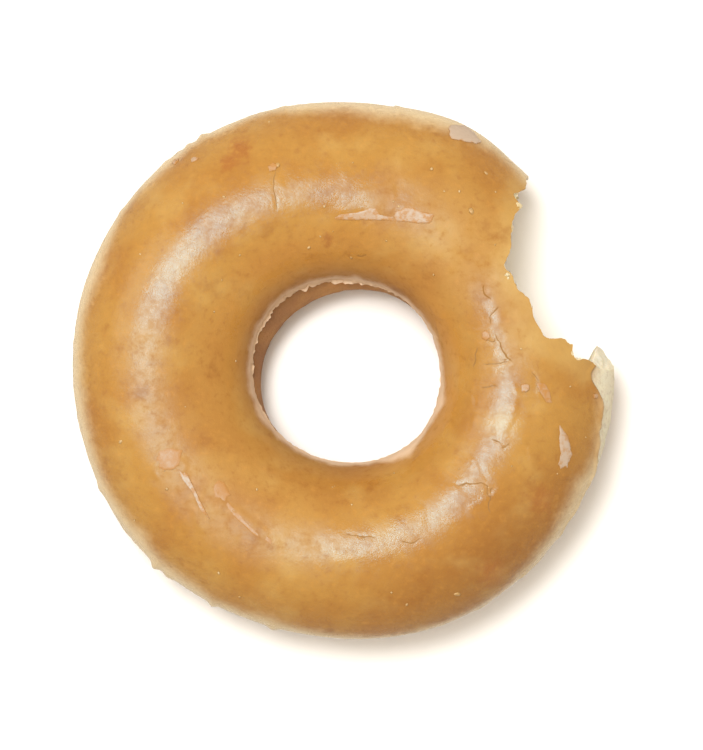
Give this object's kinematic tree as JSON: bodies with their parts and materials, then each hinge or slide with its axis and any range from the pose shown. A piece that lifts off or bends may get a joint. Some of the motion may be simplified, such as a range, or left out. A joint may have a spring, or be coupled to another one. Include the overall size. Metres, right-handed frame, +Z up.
{
  "type": "bitten glazed ring doughnut",
  "caption": "Glazed ring doughnut lying flat, its fried crust glossy under a thin cracked sugar glaze, with a toothed bite out of its outer side.",
  "frame": {"origin": "middle of the object's box, on the flat underside", "axes": "+Z up through the hole, +X towards the side with the bite, +Y towards the bite's upper end"},
  "size_m": [0.0902, 0.0892, 0.0275],
  "materials": {
    "fried_dough": "golden brown fried crust, paler round the waist, with cream crumb where it is bitten",
    "glaze": "thin see-through sugar glaze, glossy, milky where it is thick, with fine cracks",
    "crumb": "soft cream bread crumb with open cells"
  },
  "bodies": {
    "root": {"doughnut": "fried_dough"}
  },
  "joints": []
}
